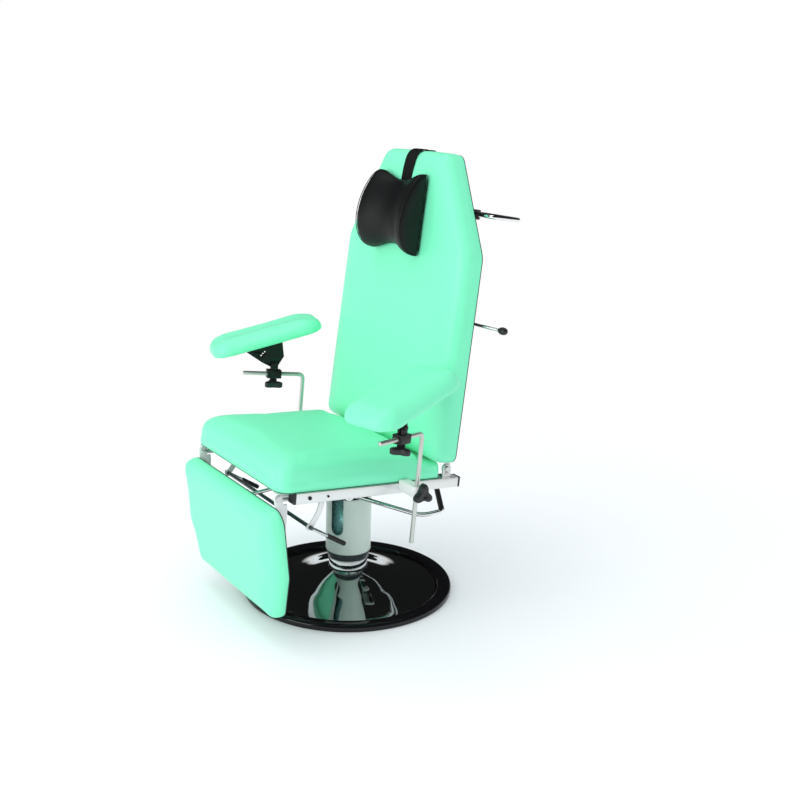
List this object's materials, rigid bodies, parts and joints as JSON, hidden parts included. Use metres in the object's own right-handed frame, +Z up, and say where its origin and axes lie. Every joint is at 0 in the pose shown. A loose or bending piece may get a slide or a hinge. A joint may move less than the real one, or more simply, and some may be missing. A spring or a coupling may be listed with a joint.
{
  "type": "blood drawing chair",
  "caption": "Padded reclining chair on a hydraulic column with round base, footrest, headrest pillow and adjustable arm pads for drawing blood.",
  "frame": {"origin": "centre of the round base's underside, on the floor", "axes": "+Z up along the lifting column, -Y the way the patient faces, +X to the patient's left"},
  "size_m": [0.9559, 0.7428, 1.2393],
  "materials": {
    "gloss_black": "high-gloss black enamel",
    "satin_black": "satin black powder coat",
    "chrome": "polished chrome",
    "blue_zinc": "blue-green zinc plate",
    "bright_steel": "bright drawn steel",
    "ring_grey": "satin dark grey enamel",
    "cover_grey": "satin grey-green enamel",
    "rail_alu": "satin anodised",
    "white_metal": "white powder coat",
    "black_plastic": "fine-grained black moulding",
    "white_plastic": "white nylon",
    "rubber": "black rubber",
    "board": "plywood stained black",
    "mint": "mint artificial leather, padded",
    "black_leather": "black artificial leather, padded",
    "strap": "black webbing"
  },
  "bodies": {
    "base": {"floor_plate": "satin_black", "base_plate": "gloss_black", "base_rim": "gloss_black", "column_collar": "chrome", "collar_ring": "ring_grey", "column_cover": "cover_grey", "pump_cylinder": "blue_zinc", "pump_head": "satin_black", "pedal_pins": "bright_steel"},
    "pedal": {"pedal_bar": "chrome", "pedal_sleeve": "rubber"},
    "ram": {"lift_ram": "chrome"},
    "seat_frame": {"swivel_hub": "satin_black", "mount_plate": "satin_black", "cross_tubes": "rail_alu", "side_rails": "rail_alu", "rail_plugs": "black_plastic", "rail_bolts": "satin_black", "footrest_lugs": "white_metal", "hinge_pins": "bright_steel", "back_brackets": "bright_steel", "lever_hangers": "white_metal", "rod_clamps": "white_metal", "seat_board": "board", "seat_cushion": "mint"},
    "backrest": {"back_board": "board", "back_cushion": "mint", "back_straps": "white_metal", "push_bar": "chrome", "push_bar_clips": "black_plastic", "spring_head": "bright_steel", "headrest_strap": "strap"},
    "pillow": {"headrest_pillow": "black_leather"},
    "recline_lever": {"back_lever": "bright_steel", "back_lever_knob": "black_plastic"},
    "back_spring_tube": {"back_spring_cylinder": "satin_black"},
    "back_spring_ram": {"back_spring_rod": "chrome"},
    "footrest": {"footrest_arms": "white_metal", "footrest_board": "board", "footrest_cushion": "mint"},
    "footrest_release": {"release_shaft": "ring_grey", "lever_grips": "rubber"},
    "foot_spring_tube": {"foot_spring_cylinder": "satin_black"},
    "foot_spring_ram": {"foot_spring_rod": "chrome"},
    "bush_left": {"rod_bush_left": "white_plastic"},
    "arm_rod_left": {"arm_rod_left": "bright_steel"},
    "arm_clamp_left": {"pad_clamp_left": "satin_black"},
    "arm_pad_left": {"pad_fan_left": "satin_black", "pad_board_left": "board", "pad_cushion_left": "mint"},
    "clamp_screw_left": {"clamp_knob_left": "black_plastic"},
    "rail_screw_left": {"rail_knob_left": "black_plastic"},
    "bush_right": {"rod_bush_right": "white_plastic"},
    "arm_rod_right": {"arm_rod_right": "bright_steel"},
    "arm_clamp_right": {"pad_clamp_right": "satin_black"},
    "arm_pad_right": {"pad_fan_right": "satin_black", "pad_board_right": "board", "pad_cushion_right": "mint"},
    "clamp_screw_right": {"clamp_knob_right": "black_plastic"},
    "rail_screw_right": {"rail_knob_right": "black_plastic"}
  },
  "joints": [
    {"name": "pedal_press", "type": "hinge", "parent": "base", "child": "pedal", "pos_m": [0, 0, 0.301], "axis": [-0.8572, 0.515, 0], "range_deg": [0, 16], "stiffness_Nm_per_rad": 6, "springref_deg": -34.38},
    {"name": "seat_lift", "type": "slide", "parent": "base", "child": "ram", "axis": [0, 0, 1], "range_m": [0, 0.15]},
    {"name": "seat_swivel", "type": "hinge", "parent": "ram", "child": "seat_frame", "pos_m": [0, 0, 0.34], "axis": [0, 0, 1], "continuous": true},
    {"name": "back_recline", "type": "hinge", "parent": "seat_frame", "child": "backrest", "pos_m": [0, 0.15368, 0.40672], "axis": [-1, 0, 0], "range_deg": [0, 60]},
    {"name": "headrest_height", "type": "slide", "parent": "backrest", "child": "pillow", "axis": [0, 0.1253, 0.9921], "range_m": [-0.06, 0.05]},
    {"name": "back_lever_pull", "type": "hinge", "parent": "backrest", "child": "recline_lever", "pos_m": [0, 0.21736, 0.80014], "axis": [1, 0, 0], "range_deg": [0, 14], "stiffness_Nm_per_rad": 0.3, "springref_deg": -17.19},
    {"name": "back_spring_tilt", "type": "hinge", "parent": "seat_frame", "child": "back_spring_tube", "pos_m": [0, 0.15113, 0.3377], "axis": [-1, 0, 0], "range_deg": [0, 52]},
    {"name": "back_spring_stroke", "type": "slide", "parent": "back_spring_tube", "child": "back_spring_ram", "axis": [0, 0.1742, 0.9847], "range_m": [-0.0345, 0]},
    {"name": "footrest_raise", "type": "hinge", "parent": "seat_frame", "child": "footrest", "pos_m": [0, -0.34501, 0.40571], "axis": [-1, 0, 0], "range_deg": [0, 65]},
    {"name": "footrest_release_pull", "type": "hinge", "parent": "seat_frame", "child": "footrest_release", "pos_m": [0, -0.26196, 0.31576], "axis": [1, 0, 0], "range_deg": [0, 12], "stiffness_Nm_per_rad": 1.2, "springref_deg": -22.92},
    {"name": "foot_spring_tilt", "type": "hinge", "parent": "seat_frame", "child": "foot_spring_tube", "pos_m": [0, -0.10883, 0.34859], "axis": [-1, 0, 0], "range_deg": [0, 4.6]},
    {"name": "foot_spring_stroke", "type": "slide", "parent": "foot_spring_tube", "child": "foot_spring_ram", "axis": [0, -0.9979, -0.0653], "range_m": [0, 0.0851]},
    {"name": "arm_swing_left", "type": "hinge", "parent": "seat_frame", "child": "bush_left", "pos_m": [0.317, 0.01146, 0.39108], "axis": [0, 0.0802, 0.9968], "range_deg": [-10, 20]},
    {"name": "arm_height_left", "type": "slide", "parent": "bush_left", "child": "arm_rod_left", "axis": [0, 0.0802, 0.9968], "range_m": [-0.06, 0.1]},
    {"name": "pad_reach_left", "type": "slide", "parent": "arm_rod_left", "child": "arm_clamp_left", "axis": [0.342, -0.9367, 0.0754], "range_m": [0, 0.055]},
    {"name": "pad_tilt_left", "type": "hinge", "parent": "arm_clamp_left", "child": "arm_pad_left", "pos_m": [0.34778, -0.05836, 0.57778], "axis": [0.9397, 0.3409, -0.0274], "range_deg": [-8, 13]},
    {"name": "clamp_knob_turn_left", "type": "hinge", "parent": "arm_clamp_left", "child": "clamp_screw_left", "pos_m": [0.34778, -0.06157, 0.53791], "axis": [0, -0.0802, -0.9968], "range_deg": [0, 120]},
    {"name": "rail_knob_turn_left", "type": "hinge", "parent": "seat_frame", "child": "rail_screw_left", "pos_m": [0.34, 0.01114, 0.38709], "axis": [1, 0, 0], "range_deg": [0, 120]},
    {"name": "arm_swing_right", "type": "hinge", "parent": "seat_frame", "child": "bush_right", "pos_m": [-0.317, 0.01146, 0.39108], "axis": [0, -0.0802, -0.9968], "range_deg": [-10, 20]},
    {"name": "arm_height_right", "type": "slide", "parent": "bush_right", "child": "arm_rod_right", "axis": [0, 0.0802, 0.9968], "range_m": [-0.06, 0.1]},
    {"name": "pad_reach_right", "type": "slide", "parent": "arm_rod_right", "child": "arm_clamp_right", "axis": [-0.2756, -0.9582, 0.0771], "range_m": [0, 0.055]},
    {"name": "pad_tilt_right", "type": "hinge", "parent": "arm_clamp_right", "child": "arm_pad_right", "pos_m": [-0.34181, -0.05913, 0.59239], "axis": [0.9613, -0.2747, 0.0221], "range_deg": [-8, 13]},
    {"name": "clamp_knob_turn_right", "type": "hinge", "parent": "arm_clamp_right", "child": "clamp_screw_right", "pos_m": [-0.34181, -0.06234, 0.55252], "axis": [0, -0.0802, -0.9968], "range_deg": [0, 120]},
    {"name": "rail_knob_turn_right", "type": "hinge", "parent": "seat_frame", "child": "rail_screw_right", "pos_m": [-0.34, 0.01114, 0.38709], "axis": [-1, 0, 0], "range_deg": [0, 120]}
  ],
  "couplings": [
    {"joint": "back_spring_tilt", "follows": "back_recline", "ratio": 0.8587},
    {"joint": "back_spring_stroke", "follows": "back_recline", "m_per_rad": -0.03201},
    {"joint": "foot_spring_tilt", "follows": "footrest_raise", "ratio": 0.0624},
    {"joint": "foot_spring_stroke", "follows": "footrest_raise", "m_per_rad": 0.07416}
  ]
}
